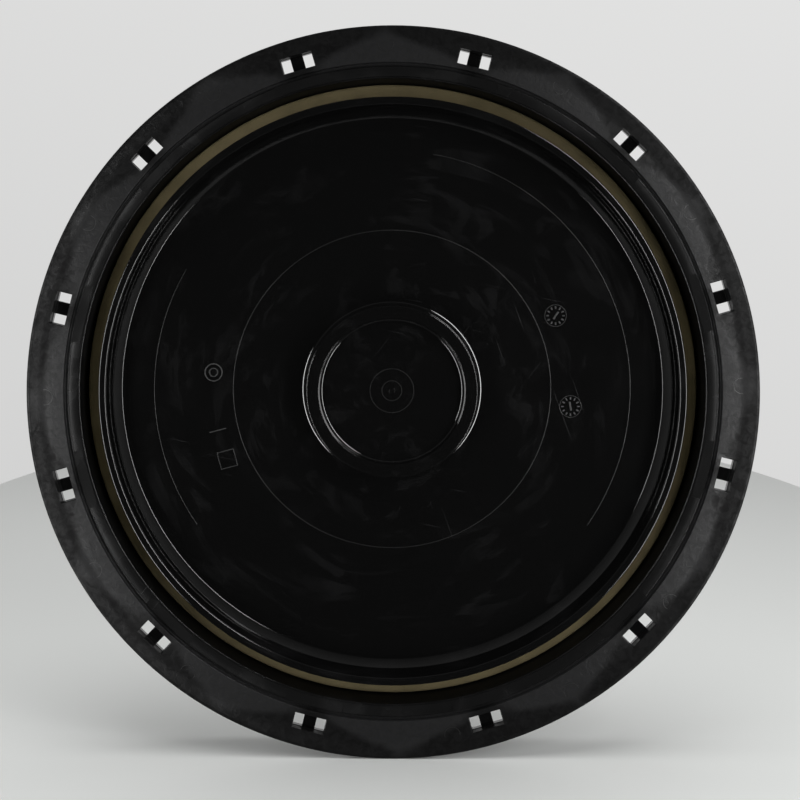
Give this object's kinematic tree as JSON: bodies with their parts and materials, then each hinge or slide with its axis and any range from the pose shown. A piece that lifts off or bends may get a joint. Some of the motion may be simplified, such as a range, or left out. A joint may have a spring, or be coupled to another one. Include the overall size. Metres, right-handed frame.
{
  "type": "drum lid",
  "caption": "Round moulded drum lid with a plug rib, a rim channel with a foam gasket, and a wide brim with tie-seal windows.",
  "frame": {"origin": "bottom centre of the lid's box as it stands on the edge of its brim, at mid depth on the lid's axis in plan", "axes": "+Y along the lid's axis from its underside to its crown, +Z up as the lid stands on edge, so the underside with the gasket faces -Y. On a drum the lid is turned so that its +Y points up."},
  "size_m": [0.38, 0.0336, 0.38],
  "materials": {
    "black_plastic": "moulded black polyethylene, satin, with flow marks and fine scratches",
    "tan_foam": "fine closed-cell foam, matt"
  },
  "bodies": {
    "root": {"lid_shell": "black_plastic", "gasket": "tan_foam"}
  },
  "joints": []
}
